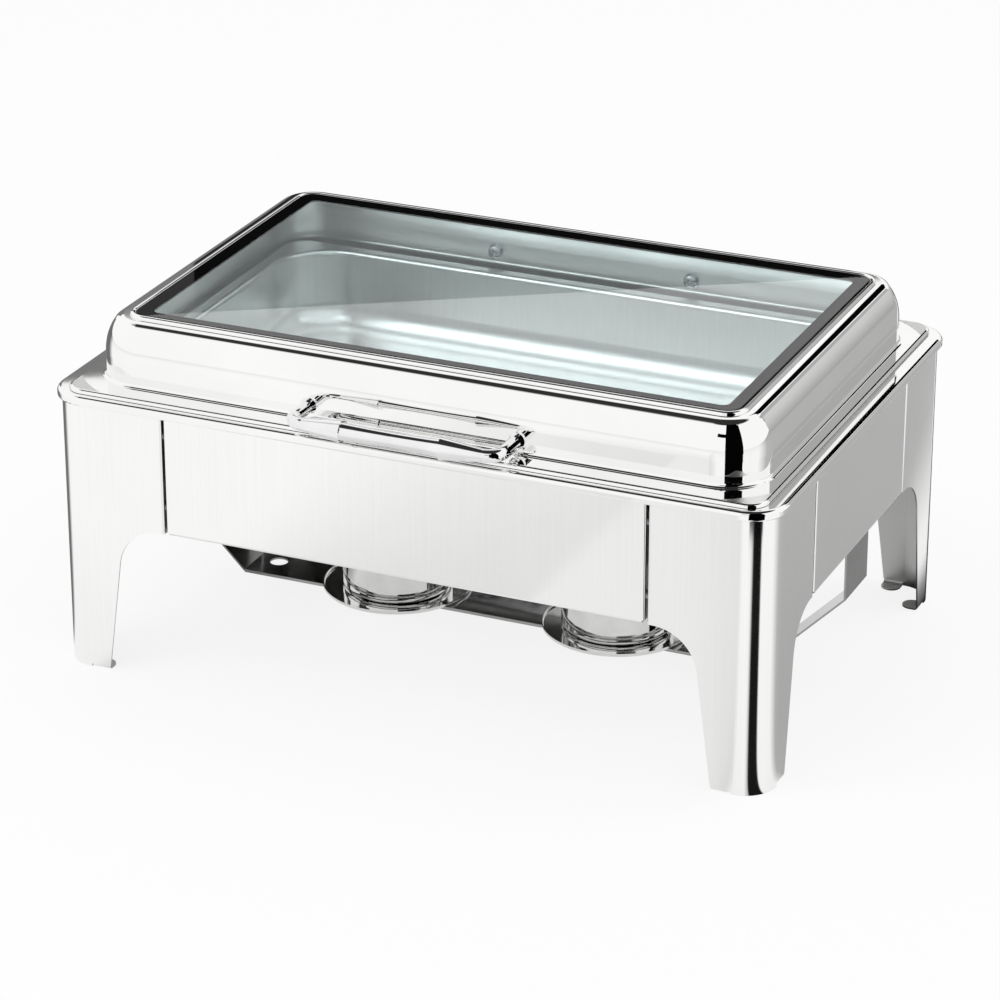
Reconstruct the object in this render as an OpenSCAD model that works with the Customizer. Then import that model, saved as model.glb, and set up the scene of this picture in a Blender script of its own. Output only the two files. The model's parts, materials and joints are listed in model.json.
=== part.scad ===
// Rectangular fuel-heated chafing dish with a hinged, glazed lid.
// Millimetres, +Z up. The origin is on the table under the middle of the frame,
// and the side with the handle faces -Y.

/* [Food pan] */
// Length of the food pan over its rim
pan_l = 530; // [500:1:560]
// Width of the food pan over its rim
pan_w = 325; // [300:1:350]
// Depth of the food pan below its rim
pan_depth = 65; // [40:1:80]
// Width of the flat rim round the food pan
pan_rim_w = 13; // [12:0.5:18]
// Height of the turned-down edge of the food pan's rim
pan_rim_h = 5; // [4:0.5:7]
// Corner radius of the food pan's rim
pan_rim_corner_r = 20; // [12:1:28]
// Corner radius inside the food pan's mouth
pan_corner_r = 48; // [40:1:60]
// Radius between the food pan's wall and floor
pan_floor_r = 20; // [10:1:26]
// Sheet thickness of both pans
pan_t = 1; // [0.7:0.1:1.4]

/* [Water pan] */
// Gap between the walls of the two pans
water_gap = 5; // [3:0.5:5.5]
// Depth of the water pan below the rim
water_depth = 94; // [84:1:98]
// Radius between the water pan's wall and floor
water_floor_r = 16; // [8:1:24]
// Height of the flat rim above the table
rim_top = 229.5; // [215:0.5:245]
// Overhang of the rim beyond the legs
rim_overhang = 4; // [3:0.5:8]
// Height of the rim's outer face
rim_skirt = 7.5; // [6:0.5:12]
// Corner radius of the rim
rim_corner_r = 30; // [28:0.5:33]
// Radius of the rim's upper edge
rim_edge_r = 3.5; // [2:0.5:4]

/* [Frame] */
// Distance from the food pan's edge to the end faces of the legs
end_margin = 29; // [27:0.5:36]
// Distance from the food pan's edge to the front and rear faces of the legs
side_margin = 37.5; // [34:0.5:44]
// Thickness of the leg and panel sheet
frame_t = 1.2; // [0.8:0.1:1.6]
// Outside radius of each leg's corner
leg_corner_r = 25; // [18:1:26]
// Width of a leg at the panels
leg_w = 95; // [92:1:108]
// Width of a leg at the table
foot_w = 42.5; // [40:0.5:46]
// Widening of a leg's inner edge per millimetre of height
leg_taper = 0.135; // [0.05:0.005:0.15]
// Radius of the arch between a leg and a panel
arch_r = 36; // [20:1:40]
// Height of the lower edge of the panels
panel_bottom = 125.5; // [110:0.5:130]
// Depth of the lip turned in along a panel's lower edge
panel_lip = 10; // [6:1:14]
// Outside bend radius beside each seam
seam_r = 2; // [1.7:0.1:3]
// Width of the open seam between a leg and a panel
seam_gap = 2; // [1.5:0.1:2.5]
// Depth of the flanges that are bolted together behind each seam
seam_flange = 14; // [12:1:18]
// Width of the tab turned in at each foot
foot_tab_w = 16; // [12:0.5:17]
// Straight length of a foot tab before its round end
foot_tab_l = 4; // [2:0.5:6]

/* [Lid] */
// Gap between the food pan's rim and the lid's end walls
lid_end_gap = 6; // [4:0.5:8]
// Gap between the food pan's rim and the lid's front and rear walls
lid_side_gap = 13; // [10:0.5:15]
// Sheet thickness of the lid
lid_t = 1; // [0.7:0.1:1.2]
// Corner radius of the lid's walls
lid_corner_r = 36; // [34:1:38]
// Height of the brim's upper face above the rim
brim_h = 3.3; // [3.2:0.1:4.5]
// Distance of the brim's edge from the rim's edge at the ends
brim_end_inset = 13; // [11:0.5:15]
// Distance of the brim's edge from the rim's edge at the front and rear
brim_side_inset = 6.5; // [6:0.5:9]
// Corner radius of the brim
brim_corner_r = 16; // [10:1:24]
// Radius of the brim's turned-down edge
brim_edge_r = 2.5; // [1.8:0.1:2.8]
// Radius of the cove between brim and wall
cove_r = 3; // [2:0.5:4]
// Height of the lid's flat deck above the rim
deck_h = 51.5; // [48:0.5:54]
// Radius of the bulging shoulder
shoulder_r = 43; // [38:1:44]
// Radius of the edge between shoulder and deck
deck_edge_r = 8; // [6:0.5:9]
// Distance of the bead's foot from the wall
bead_inset = 19.5; // [18:0.5:21]
// Width of the bead round the window
bead_w = 5; // [4.5:0.5:6]

/* [Window] */
// Thickness of the glass
glass_t = 4; // [3:0.5:5]
// Depth of the glass below the top of the bead
glass_recess = 0.5; // [0.5:0.5:1.5]
// Gap round the edge of the glass
glass_gap = 0.5; // [0.3:0.1:1]
// Thickness of the seal under the glass
seal_t = 1.2; // [0.8:0.1:2]
// Width of the seal under the glass
seal_w = 11; // [9:1:16]
// Width of the ledge that carries the seal
ledge_w = 10; // [8:1:14]

/* [Handle] */
// Distance between the handle's two arms
handle_span = 170; // [140:1:200]
// Height of the handle above the rim
handle_h = 13; // [12.5:0.5:14]
// Radius of the handle's arms
arm_r = 5.2; // [4.5:0.1:5.5]
// Radius of the flare where an arm meets the lid
arm_foot_r = 6.5; // [6:0.1:7]
// Length of that flare
arm_foot_l = 5; // [3:0.5:8]
// Radius of the bend between arm and grip
elbow_r = 12; // [9:1:15]
// Length of the waisted middle of the grip
waist_l = 80; // [60:1:90]
// Radius of the grip at the middle of its waist
waist_r = 6; // [5:0.1:6.5]
// Radius of the grip at the ends of its waist
waist_end_r = 7; // [6.6:0.1:7.6]
// Radius of the grip's ferrules beside the waist
ferrule_r = 8.8; // [8:0.1:9.4]

/* [Hinge] */
// Distance between the two hinges
hinge_span = 172; // [120:1:240]
// Height of the hinge axis above the rim
hinge_h = 6.5; // [6.4:0.1:7.5]
// Gap between the rim and the hinge ears
hinge_gap = 1; // [0.5:0.1:2]
// Radius of the hinge ears
ear_r = 7.5; // [7:0.1:9]
// Thickness of the hinge ears
ear_t = 2.5; // [2:0.1:3]
// Radius of the hinge barrel
barrel_r = 5; // [4.5:0.1:5.2]
// Length of the hinge barrel
barrel_l = 16; // [12:1:20]
// Radius of the hinge pin
pin_r = 2.5; // [2:0.1:3]
// Thickness of the hinge leaf and bracket plates
hinge_t = 2; // [1.5:0.1:2]
// Width of the leaf screwed to the lid
leaf_w = 28; // [24:1:36]
// Width of the bracket screwed to the rear panel
bracket_w = 46; // [42:1:56]
// Distance of the bracket's bolts from its sides
bracket_bolt_in = 7; // [6:0.5:9]
// Distance of the bracket's shelf below the rim
bracket_drop = 8; // [4:0.5:12]
// Height of the bracket on the rear panel
bracket_h = 36; // [30:1:50]

/* [Burners] */
// Width of the burner bar
bar_w = 50; // [40:1:60]
// Thickness of the burner bar
bar_t = 1.5; // [1.2:0.1:2]
// Height of the bar's flat middle above the table
bar_z = 18.5; // [14:0.5:30]
// Rise of the bar's slanted ends
bar_rise = 69; // [55:1:75]
// Height of the upright ends of the bar
bar_end_h = 72; // [64:1:80]
// Depth of the lip along each edge of the bar
bar_lip = 2.5; // [2:0.5:5]
// Radius of the holes near the ends of the bar
bar_hole_r = 7.5; // [5:0.5:9]
// Distance of those holes from the bends of the bar
bar_hole_in = 19; // [14:0.5:30]
// Distance of the bar's studs above the lower edge of the panels
bar_stud_up = 20; // [16:1:24]
// Distance between the two burners
burner_span = 192; // [170:1:220]
// Radius of a burner tray
tray_r = 60.5; // [56:0.5:64]
// Height of a burner tray
tray_h = 3.2; // [2.6:0.2:6]
// Radius of a fuel cup
cup_r = 44.5; // [40:0.5:47]
// Height of a fuel cup
cup_h = 58; // [50:1:66]
// Sheet thickness of trays, cups, caps and dampers
burner_t = 1; // [0.8:0.1:1.2]
// Radius of the flame opening in a cap
flame_r = 18; // [14:0.5:20]
// Distance of a damper's pivot from the middle of its cap
damper_pivot = 29; // [28:0.5:31]

/* [Fasteners] */
// Radius of the screws in the lid
screw_r = 2.5; // [2:0.1:2.6]
// Radius of the bolts in the frame
bolt_r = 2; // [1.5:0.1:2.4]
// Radius of the rivets
rivet_r = 2; // [1.5:0.1:2.4]
// Play round screws, bolts and rivets in their holes
hole_play = 0.15; // [0.1:0.05:0.3]
// Running clearance of pins and pivots
run_play = 0.05; // [0.02:0.01:0.1]
// Clear gap between parts that pass or lie over each other
free_gap = 0.3; // [0.3:0.05:0.5]

/* [Hidden] */
$fn = 64;
over = 1;
// Overlap that lets two tangent edges cross cleanly
blend = 0.004;
frame_w = pan_l + 2 * end_margin;
frame_d = pan_w + 2 * side_margin;
hx = frame_w / 2;
hy = frame_d / 2;
rim_hx = hx + rim_overhang;
rim_hy = hy + rim_overhang;
rim_curl_r = 1.6;
frame_top = rim_top - pan_t;

// Pan mouths and floors
mouth_r = 4;
pan_hx = pan_l / 2 - pan_rim_w;
pan_hy = pan_w / 2 - pan_rim_w;
pan_rim_z = rim_top + pan_rim_h;
pan_rim_edge_r = 2;
water_hx = pan_hx + pan_t + water_gap;
water_hy = pan_hy + pan_t + water_gap;
water_corner_r = pan_corner_r + pan_t + water_gap;
water_floor = rim_top - water_depth;

// Foot and seam details
tab_bend_r = 2;
tab_drop = tab_bend_r + frame_t;
hem_bend_r = 1;
hem = hem_bend_r + frame_t;
panel_front_l = frame_w - 2 * (leg_w + seam_gap);
panel_side_l = frame_d - 2 * (leg_w + seam_gap);
seam_bolt_in = (seam_flange + seam_r) / 2;
seam_bolt_up = 20;
seam_bolt_down = 24;
seam_bolt_z = [panel_bottom + seam_bolt_up, frame_top - seam_bolt_down];

// Lid levels and outlines
lid_hx = pan_l / 2 + lid_end_gap + lid_t;
lid_hy = pan_w / 2 + lid_side_gap + lid_t;
brim_z = rim_top + brim_h;
deck_z = rim_top + deck_h;
shoulder_turn = asin(0.6);
wall_top = deck_z - deck_edge_r - (shoulder_r - deck_edge_r) * sin(shoulder_turn);
deck_start = (shoulder_r - deck_edge_r) * cos(shoulder_turn) - shoulder_r;
bead_r = bead_w / 2;
bead_mid = -bead_inset - bead_r;
pocket = -bead_inset - bead_w;
glass_top = deck_z + bead_r - glass_recess;
ledge_z = glass_top - glass_t - seal_t;
window_corner_r = 6;
brim_hx = rim_hx - brim_end_inset;
brim_hy = rim_hy - brim_side_inset;

// Hinge axis, and the handle that reaches as far in front as the hinges do behind
axis_y = rim_hy + hinge_gap + ear_r;
axis_z = rim_top + hinge_h;
reach = axis_y + ear_r;
leaf_low = brim_z + cove_r + free_gap;
leaf_screw_z = (leaf_low + wall_top) / 2;
leaf_skin = 0.6;
leaf_thread = hinge_t - leaf_skin;
strap_z = brim_z + free_gap;
strap_t = 2.5;
ear_in = barrel_l / 2 + free_gap;
bracket_top = rim_top - rim_skirt - bracket_drop;
bracket_bolt_x = bracket_w / 2 - bracket_bolt_in;
bracket_bolt_z = bracket_top - bracket_h / 2;
heel_half = 1.5;
heel_room = 0.9;
pin_head_r = 1.6 * pin_r;
pin_head_h = 0.8 * pin_r;
grip_y = -(reach - ferrule_r);
grip_z = rim_top + handle_h;

// Burner levels
bar_end_x = hx - frame_t;
bar_flat = bar_end_x - bar_t - bar_rise;
bar_stud_z = panel_bottom + bar_stud_up;
tray_z = bar_z;
cup_z = tray_z + burner_t;
cap_z = cup_z + cup_h;
damper_z = cap_z + burner_t;
damper_r = flame_r + 3;
tray_bend_r = 2;
cup_bend_r = 5;
cup_base_in = 2.5;
cup_foot_w = 6;
cap_skirt = 8;
damper_arm = 7;
damper_tab = 6;
damper_lift = 9;

// Fastener heads
bolt_head_r = 1.75 * bolt_r;
bolt_head_h = 1.2 * bolt_r;
nut_r = 2 * bolt_r;
spacer_r = 1.9 * bolt_r;
nut_h = 1.6 * bolt_r;
screw_head_r = 2.1 * screw_r;
screw_head_h = 1.1 * screw_r;
washer_r = 2.6 * screw_r;
washer_t = 1;
rivet_head_r = 2 * rivet_r;
rivet_head_h = 0.7 * rivet_r;
handle_screw_l = 14;

// Shapes in the plane

// Quarter of a disc in the first quadrant
module quarter_disc(r) {
    intersection() {
        circle(r);
        square(2 * r);
    }
}

// Sheet of thickness t bent round an inner radius, between two angles
module bend(r_in, t, from, to) {
    far = 2 * (r_in + t);
    intersection() {
        difference() {
            circle(r_in + t);
            circle(r_in);
        }
        polygon([[0, 0], far * [cos(from), sin(from)], far * [cos(to), sin(to)]]);
    }
}

// Upright rectangle from one corner to the opposite one
module block(low, high) {
    translate(low)
        square(high - low);
}

// Rectangle with four equal round corners, centred
module round_rect(half_x, half_y, r) {
    square([2 * half_x, 2 * (half_y - r)], center = true);
    square([2 * (half_x - r), 2 * half_y], center = true);
    for (turn = [0 : 90 : 270]) {
        flip = turn % 180 == 0 ? [half_x - r, half_y - r] : [half_y - r, half_x - r];
        rotate(turn)
            translate(flip)
                quarter_disc(r);
    }
}

// Rectangle with its own radius at each corner, from the origin: near, right, far and left
module corner_rect(w, d, radii) {
    places = [[0, 0], [w, 0], [w, d], [0, d]];
    difference() {
        square([w, d]);
        for (i = [0 : 3])
            if (radii[i] > 0)
                translate(places[i])
                    square(2 * radii[i], center = true);
    }
    for (i = [0 : 3])
        if (radii[i] > 0)
            translate(places[i])
                rotate(90 * i)
                    translate([radii[i], radii[i]])
                        rotate(180)
                            quarter_disc(radii[i]);
}

// Solid operations

// Carries a profile round a rounded rectangle: x is outwards from the outline, y is height
module around(half_x, half_y, r) {
    for (turn = [0, 180]) {
        rotate(turn)
            translate([-(half_x - r), half_y, 0])
                rotate([90, 0, 90])
                    linear_extrude(2 * (half_x - r))
                        children();
        rotate(turn + 90)
            translate([-(half_y - r), half_x, 0])
                rotate([90, 0, 90])
                    linear_extrude(2 * (half_y - r))
                        children();
    }
    for (turn = [0 : 90 : 270]) {
        flip = turn % 180 == 0 ? [half_x - r, half_y - r, 0] : [half_y - r, half_x - r, 0];
        rotate(turn)
            translate(flip)
                rotate_extrude(angle = 90)
                    translate([r, 0])
                        children();
    }
}

// Flat ring between two rounded rectangles given as [half_x, half_y, corner radius]
module flat_ring(outer, inner, low, t) {
    translate([0, 0, low])
        linear_extrude(t)
            difference() {
                round_rect(outer[0], outer[1], outer[2]);
                round_rect(inner[0], inner[1], inner[2]);
            }
}

// Rounded rectangle grown outwards by a distance
function grown(outline, by) = [outline[0] + by, outline[1] + by, outline[2] + by];

// Cylinder lying along X from a point
module rod_x(at, r, l) {
    translate(at)
        rotate([0, 90, 0])
            cylinder(r = r, h = l);
}

// Cylinder lying along Y from a point
module rod_y(at, r, l) {
    translate(at)
        rotate([-90, 0, 0])
            cylinder(r = r, h = l);
}

// Both sides of the object
module left_and_right() {
    children();
    mirror([1, 0, 0])
        children();
}

// All four corners of the frame, from the front left one
module four_corners() {
    left_and_right() {
        children();
        mirror([0, 1, 0])
            children();
    }
}

// Frame

// Plan of a leg from its outer corner: a rounded angle with a flange turned in at each end
module leg_plan() {
    bent = [leg_corner_r, seam_r, 0, seam_r];
    inside = [leg_corner_r - frame_t, seam_r - frame_t, 0, seam_r - frame_t];
    difference() {
        corner_rect(leg_w, leg_w, bent);
        translate([frame_t, frame_t])
            corner_rect(leg_w - 2 * frame_t, leg_w - 2 * frame_t, inside);
        translate([seam_flange, seam_flange])
            square(leg_w);
    }
}

// Outline cut away beside a leg: the tapered inner edge runs into the arch under the panel
module arch_outline() {
    lean = atan(leg_taper);
    along = (panel_bottom - arch_r + arch_r * sin(lean)) / cos(lean);
    knee = [foot_w + along * sin(lean), along * cos(lean)];
    mid = [knee[0] + arch_r * cos(lean), panel_bottom - arch_r];
    below = -over / cos(lean);
    polygon([
        knee,
        [foot_w + below * sin(lean), below * cos(lean)],
        [leg_w + over, -over],
        [leg_w + over, panel_bottom],
        [mid[0], panel_bottom],
        mid
    ]);
    translate(mid)
        circle(arch_r + blend);
}

// Bolt holes through the flange at one end of a leg or panel, along X
module seam_holes(x) {
    for (z = seam_bolt_z)
        rod_x([x - over - frame_t, seam_bolt_in, z], bolt_r + hole_play, 2 * (over + frame_t));
}

// Half-round tab turned in at the end of one foot
module foot_tab() {
    translate([foot_w - foot_tab_w, 0, 0])
        rotate([90, 0, 90])
            linear_extrude(foot_tab_w)
                translate([tab_drop, tab_drop])
                    bend(tab_bend_r, frame_t, 180, 270);
    translate([foot_w - foot_tab_w / 2, tab_drop, 0])
        linear_extrude(frame_t) {
            block([-foot_tab_w / 2, 0], [foot_tab_w / 2, foot_tab_l]);
            translate([0, foot_tab_l])
                intersection() {
                    circle(foot_tab_w / 2);
                    block([-foot_tab_w, 0], [foot_tab_w, foot_tab_w]);
                }
        }
}

// Cuts on one side of a leg: arch, foot tab notch and seam holes
module leg_side_cuts() {
    translate([0, seam_flange + over, 0])
        rotate([90, 0, 0])
            linear_extrude(seam_flange + 2 * over)
                arch_outline();
    translate([foot_w - foot_tab_w, -over, -over])
        cube([foot_tab_w + over, frame_t + 2 * over, tab_drop + over]);
    seam_holes(leg_w);
}

// One corner leg, standing at the front left, its round corner cut down to clear the rolled rim
module leg() {
    translate([-hx, -hy, 0]) {
        difference() {
            linear_extrude(frame_top)
                leg_plan();
            leg_side_cuts();
            mirror([1, -1, 0])
                leg_side_cuts();
            translate([-over, -over, frame_top - rim_edge_r])
                cube([leg_corner_r + over, leg_corner_r + over, rim_edge_r + over]);
        }
        foot_tab();
        mirror([1, -1, 0])
            foot_tab();
    }
}

module leg_front_left() {
    color("gainsboro")
        leg();
}

module leg_front_right() {
    color("gainsboro")
        mirror([1, 0, 0])
            leg();
}

module leg_rear_left() {
    color("gainsboro")
        mirror([0, 1, 0])
            leg();
}

module leg_rear_right() {
    color("gainsboro")
        mirror([1, 0, 0])
            mirror([0, 1, 0])
                leg();
}

// Panel of a given length: outer face on y = 0, flanges turned in at both ends and a lip below
module panel(l) {
    difference() {
        translate([0, 0, panel_bottom + hem])
            linear_extrude(frame_top - panel_bottom - hem)
                translate([-l / 2, 0])
                    difference() {
                        corner_rect(l, seam_flange, [seam_r, seam_r, 0, 0]);
                        translate([frame_t, frame_t])
                            corner_rect(l - 2 * frame_t, seam_flange,
                                        [seam_r - frame_t, seam_r - frame_t, 0, 0]);
                    }
        seam_holes(-l / 2 + frame_t);
        seam_holes(l / 2);
    }
    translate([seam_r - l / 2, 0, panel_bottom])
        rotate([90, 0, 90])
            linear_extrude(l - 2 * seam_r) {
                translate([hem, hem])
                    bend(hem_bend_r, frame_t, 180, 270);
                block([hem, 0], [panel_lip, frame_t]);
            }
}

module front_panel() {
    color("whitesmoke")
        translate([0, -hy, 0])
            panel(panel_front_l);
}

// The rear panel also carries the two hinge brackets
module rear_panel() {
    color("whitesmoke")
        difference() {
            translate([0, hy, 0])
                rotate(180)
                    panel(panel_front_l);
            bracket_bolts(bolt_r + hole_play);
        }
}

// End panel: its lip is cut away where the burner bar comes up behind it
module end_panel() {
    notch = bar_w + 2 * free_gap;
    difference() {
        panel(panel_side_l);
        translate([-notch / 2, frame_t, panel_bottom - over])
            cube([notch, panel_lip + over, hem + over]);
    }
}

module left_panel() {
    color("lightgray")
        translate([-hx, 0, 0])
            rotate(-90)
                end_panel();
}

module right_panel() {
    color("lightgray")
        translate([hx, 0, 0])
            rotate(90)
                end_panel();
}

// Pan-head bolts through the paired seam flanges
module seam_bolts() {
    color("darkgray")
        four_corners()
            translate([-hx, -hy, 0])
                for (side = [0, 1])
                    mirror([side, -side, 0])
                        for (z = seam_bolt_z) {
                            rod_x([leg_w - frame_t - bolt_head_h, seam_bolt_in, z], bolt_head_r, bolt_head_h);
                            rod_x([leg_w - frame_t, seam_bolt_in, z], bolt_r,
                                  2 * frame_t + seam_gap + nut_h + over);
                        }
}

// Hexagon nuts on the seam bolts
module seam_nuts() {
    color("darkgray")
        four_corners()
            translate([-hx, -hy, 0])
                for (side = [0, 1])
                    mirror([side, -side, 0])
                        for (z = seam_bolt_z)
                            translate([leg_w + seam_gap + frame_t, seam_bolt_in, z])
                                rotate([0, 90, 0])
                                    hex_nut();
}

// Rings on the seam bolts that keep the seams open
module seam_spacers() {
    color("darkgray")
        four_corners()
            translate([-hx, -hy, 0])
                for (side = [0, 1])
                    mirror([side, -side, 0])
                        for (z = seam_bolt_z)
                            difference() {
                                rod_x([leg_w, seam_bolt_in, z], spacer_r, seam_gap);
                                rod_x([leg_w - over, seam_bolt_in, z], bolt_r + run_play,
                                      seam_gap + 2 * over);
                            }
}

// Hexagon nut standing on the origin
module hex_nut() {
    difference() {
        cylinder(r = nut_r, h = nut_h, $fn = 6);
        translate([0, 0, -over])
            cylinder(r = bolt_r + run_play, h = nut_h + 2 * over);
    }
}

// Pans

// Wall of a drawn pan from its mouth to its floor: the outline is the wall's inner face
module pan_wall(top, low, t, floor_r) {
    translate([mouth_r, top - mouth_r])
        bend(mouth_r - t, t, 90, 180);
    block([0, low + floor_r], [t, top - mouth_r]);
    translate([-floor_r, low + floor_r])
        bend(floor_r, t, -90, 0);
}

// Drawn pan: flat rim inside a given outline, wall and floor
module drawn_pan(rim, mouth, top, low, t, floor_r) {
    flat_ring(rim, grown(mouth, mouth_r), top - t, t);
    around(mouth[0], mouth[1], mouth[2])
        pan_wall(top, low, t, floor_r);
    translate([0, 0, low - t])
        linear_extrude(t)
            round_rect(mouth[0] - floor_r, mouth[1] - floor_r, mouth[2] - floor_r);
}

// Water pan: its wide rim lies on the legs and panels and is rolled down round its edge
module water_pan() {
    low_edge = rim_top - rim_skirt;
    color("silver") {
        drawn_pan([rim_hx - rim_edge_r, rim_hy - rim_edge_r, rim_corner_r - rim_edge_r],
                  [water_hx, water_hy, water_corner_r],
                  rim_top, water_floor, pan_t, water_floor_r);
        around(rim_hx, rim_hy, rim_corner_r) {
            translate([-rim_edge_r, rim_top - rim_edge_r])
                bend(rim_edge_r - pan_t, pan_t, 0, 90);
            block([-pan_t, low_edge + rim_curl_r], [0, rim_top - rim_edge_r]);
            translate([-rim_curl_r, low_edge + rim_curl_r])
                bend(rim_curl_r - pan_t, pan_t, -90, 0);
        }
    }
}

// Food pan: its turned-down edge stands on the water pan's rim
module food_pan() {
    edge = pan_rim_edge_r;
    color("lightsteelblue") {
        drawn_pan([pan_l / 2 - edge, pan_w / 2 - edge, pan_rim_corner_r - edge],
                  [pan_hx, pan_hy, pan_corner_r],
                  pan_rim_z, pan_rim_z - pan_depth, pan_t, pan_floor_r);
        around(pan_l / 2, pan_w / 2, pan_rim_corner_r) {
            translate([-edge, pan_rim_z - edge])
                bend(edge - pan_t, pan_t, 0, 90);
            block([-pan_t, rim_top], [0, pan_rim_z - edge]);
        }
    }
}

// Lid

// Section of the lid above its brim: cove, upright wall, bulging shoulder, deck and bead
module lid_section() {
    edge_mid = [deck_start, deck_z - deck_edge_r];
    translate([cove_r, brim_z + cove_r])
        bend(cove_r, lid_t, 180, 270);
    block([-lid_t, brim_z + cove_r], [0, wall_top]);
    translate([-shoulder_r, wall_top])
        bend(shoulder_r - lid_t, lid_t, 0, shoulder_turn);
    translate(edge_mid)
        bend(deck_edge_r - lid_t, lid_t, shoulder_turn, 90);
    block([bead_mid + bead_r - lid_t, deck_z - lid_t], [deck_start, deck_z]);
    for (half = [0, 90])
        translate([bead_mid, deck_z])
            bend(bead_r - lid_t, lid_t, half, half + 90);
    block([pocket, ledge_z - lid_t], [pocket + lid_t, deck_z]);
}

// Turned-down edge of the brim
module brim_edge() {
    translate([-brim_edge_r, brim_z - brim_edge_r])
        bend(brim_edge_r - lid_t, lid_t, 0, 90);
    block([-lid_t, rim_top + free_gap], [0, brim_z - brim_edge_r]);
}

// Polished lid shell with a window opening
module lid_shell() {
    wall = [lid_hx, lid_hy, lid_corner_r];
    brim = [brim_hx, brim_hy, brim_corner_r];
    color("silver")
        difference() {
            union() {
                around(lid_hx, lid_hy, lid_corner_r)
                    lid_section();
                flat_ring(grown(brim, -brim_edge_r), grown(wall, cove_r), brim_z - lid_t, lid_t);
                around(brim_hx, brim_hy, brim_corner_r)
                    brim_edge();
                flat_ring(grown(wall, pocket), window_outline(), ledge_z - lid_t, lid_t);
            }
            left_and_right() {
                rod_y([handle_span / 2, -lid_hy - over, grip_z], screw_r + hole_play, lid_t + 2 * over);
                rod_y([hinge_span / 2, lid_hy - lid_t - over, leaf_screw_z],
                      screw_r + hole_play, lid_t + 2 * over);
            }
        }
}

// Clear opening inside the ledge
function window_outline() = [lid_hx + pocket - ledge_w, lid_hy + pocket - ledge_w, window_corner_r];

// Black seal that shows through the edge of the glass
module window_seal() {
    pane = grown([lid_hx, lid_hy, lid_corner_r], pocket - glass_gap);
    color("black")
        flat_ring(pane, [pane[0] - seal_w, pane[1] - seal_w, window_corner_r], ledge_z, seal_t);
}

// Glass pane lying on its seal
module lid_glass() {
    pane = grown([lid_hx, lid_hy, lid_corner_r], pocket - glass_gap);
    color("lightcyan", 0.4)
        translate([0, 0, glass_top - glass_t])
            linear_extrude(glass_t)
                round_rect(pane[0], pane[1], pane[2]);
}

// Half section of the turned grip from its middle outwards: waist, ferrule and taper
module grip_section() {
    half = waist_l / 2;
    dip = waist_end_r - waist_r;
    hollow_r = (half * half + dip * dip) / (2 * dip);
    end = handle_span / 2 - elbow_r;
    difference() {
        block([0, 0], [waist_end_r, half]);
        translate([waist_r + hollow_r, 0])
            circle(hollow_r, $fn = 360);
    }
    polygon([[0, half], [ferrule_r, half], [arm_r, end], [0, end]]);
}

// Cast bow handle: turned grip, two elbows and two arms flared where they meet the lid
module lid_handle() {
    arm_l = -lid_hy - grip_y - elbow_r;
    color("silver")
        difference() {
            union() {
                translate([0, grip_y, grip_z])
                    left_and_right() {
                        rotate([0, 90, 0])
                            rotate_extrude()
                                grip_section();
                        translate([handle_span / 2 - elbow_r, elbow_r, 0])
                            rotate(-90)
                                rotate_extrude(angle = 90)
                                    translate([elbow_r, 0])
                                        circle(arm_r);
                        rod_y([handle_span / 2, elbow_r, 0], arm_r, arm_l);
                    }
                left_and_right()
                    translate([handle_span / 2, -lid_hy - arm_foot_l, grip_z])
                        rotate([-90, 0, 0])
                            cylinder(r1 = arm_r, r2 = arm_foot_r, h = arm_foot_l);
            }
            left_and_right()
                rod_y([handle_span / 2, -lid_hy - handle_screw_l - over, grip_z],
                      screw_r + run_play, handle_screw_l + 2 * over);
        }
}

// Pan-head screw along Y: the washer face is at the given point and the shank points along dir
module lid_screw(at, dir, l) {
    translate(at)
        rotate([-90 * dir, 0, 0]) {
            cylinder(r = screw_r, h = l);
            translate([0, 0, -screw_head_h])
                cylinder(r = screw_head_r, h = screw_head_h);
        }
}

// Flat washer along Y against a wall
module lid_washer(at) {
    translate(at)
        rotate([-90, 0, 0])
            difference() {
                cylinder(r = washer_r, h = washer_t);
                translate([0, 0, -over])
                    cylinder(r = screw_r + hole_play, h = washer_t + 2 * over);
            }
}

module handle_screws() {
    inside = -lid_hy + lid_t + washer_t;
    color("darkgray")
        left_and_right()
            lid_screw([handle_span / 2, inside, grip_z], -1, lid_t + washer_t + handle_screw_l);
}

module handle_washers() {
    color("gray")
        left_and_right()
            lid_washer([handle_span / 2, -lid_hy + lid_t, grip_z]);
}

// Hinge

// Leaf screwed to the lid's rear wall: plate, strap over the brim, barrel and stop heel
module hinge_leaf() {
    color("lightgray")
        difference() {
            union() {
                translate([-leaf_w / 2, lid_hy, leaf_low])
                    cube([leaf_w, hinge_t, wall_top - leaf_low]);
                translate([-barrel_l / 2, lid_hy + cove_r + free_gap, strap_z])
                    cube([barrel_l, axis_y - lid_hy - cove_r - free_gap, strap_t]);
                translate([-barrel_l / 2, lid_hy + cove_r + free_gap, strap_z])
                    cube([barrel_l, hinge_t, leaf_low - strap_z + hinge_t]);
                translate([-barrel_l / 2, lid_hy + hinge_t, leaf_low])
                    cube([barrel_l, cove_r + free_gap, hinge_t]);
                rod_x([-barrel_l / 2, axis_y, axis_z], barrel_r, barrel_l);
                translate([-barrel_l / 2, axis_y - heel_half, axis_z])
                    cube([barrel_l, 2 * heel_half, ear_r - free_gap]);
            }
            rod_x([-barrel_l / 2 - over, axis_y, axis_z], pin_r + run_play, barrel_l + 2 * over);
            rod_y([0, lid_hy - over, leaf_screw_z], screw_r + run_play, over + leaf_thread);
        }
}

module hinge_leaf_left() {
    translate([-hinge_span / 2, 0, 0])
        hinge_leaf();
}

module hinge_leaf_right() {
    translate([hinge_span / 2, 0, 0])
        hinge_leaf();
}

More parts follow.
